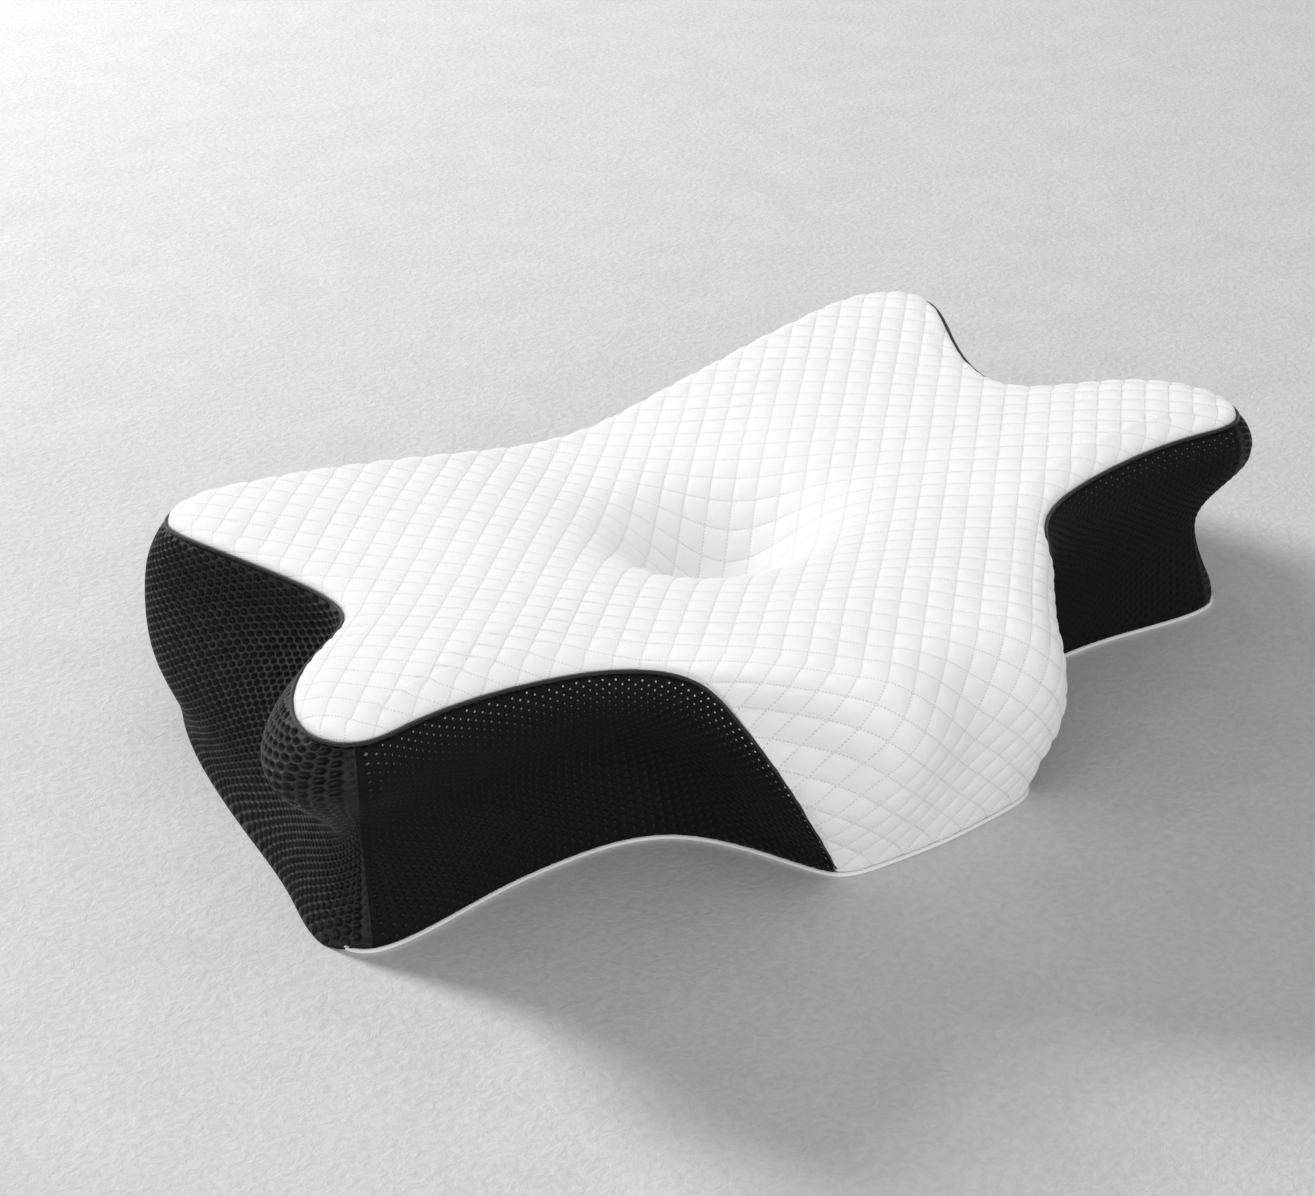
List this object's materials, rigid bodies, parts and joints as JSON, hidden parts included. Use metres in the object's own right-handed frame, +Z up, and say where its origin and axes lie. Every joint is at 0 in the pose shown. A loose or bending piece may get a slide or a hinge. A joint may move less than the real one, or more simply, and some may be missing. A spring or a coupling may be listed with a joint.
{
  "type": "contoured cervical pillow",
  "caption": "Butterfly-shaped contoured foam neck pillow with a head cradle, quilted white top, black mesh sides, white base piping and a zipped rear opening.",
  "frame": {"origin": "on the ground, under the middle of the pillow's bounding box", "axes": "+X along the pillow's length between its wings, +Y towards the back with the zip, so the neck lobe points along -Y, +Z up"},
  "size_m": [0.6134, 0.3874, 0.126],
  "materials": {
    "memory_foam": "matte open-cell foam, cream",
    "liner_knit": "thin matte jersey, off-white",
    "quilted_white_knit": "matte knit, diamond quilted, white",
    "black_spacer_mesh": "matte open mesh with a slight sheen, black",
    "seam_cord_black": "satin woven binding, black",
    "base_fabric": "matte woven, white",
    "base_piping_white": "satin piping, white",
    "zip_tape": "matte woven tape, white",
    "zip_coil": "nylon coil, white",
    "zip_metal": "satin grey"
  },
  "bodies": {
    "pillow": {"foam_core": "memory_foam", "liner_top": "liner_knit", "liner_base": "liner_knit", "quilted_top_panel": "quilted_white_knit", "mesh_front_right": "black_spacer_mesh", "mesh_end_right": "black_spacer_mesh", "mesh_end_left": "black_spacer_mesh", "mesh_front_left": "black_spacer_mesh", "mesh_rear": "black_spacer_mesh", "rim_seam_cord": "seam_cord_black", "base_panel": "base_fabric", "base_piping": "base_piping_white", "zip_tape_upper": "zip_tape", "zip_tape_lower": "zip_tape", "zip_coil_upper": "zip_coil", "zip_coil_lower": "zip_coil", "zip_top_stop_upper": "zip_metal", "zip_top_stop_lower": "zip_metal", "zip_bottom_stop": "zip_metal"},
    "slider": {"zip_slider": "zip_metal"},
    "pull": {"zip_pull_tab": "zip_metal"}
  },
  "joints": [
    {"name": "zip_slide", "type": "slide", "parent": "pillow", "child": "slider", "axis": [1, 0, 0], "range_m": [-0.302, 0]},
    {"name": "pull_hinge", "type": "hinge", "parent": "slider", "child": "pull", "pos_m": [0.151, 0.19265, 0.0185], "axis": [0, 0, -1], "range_deg": [0, 165]}
  ]
}
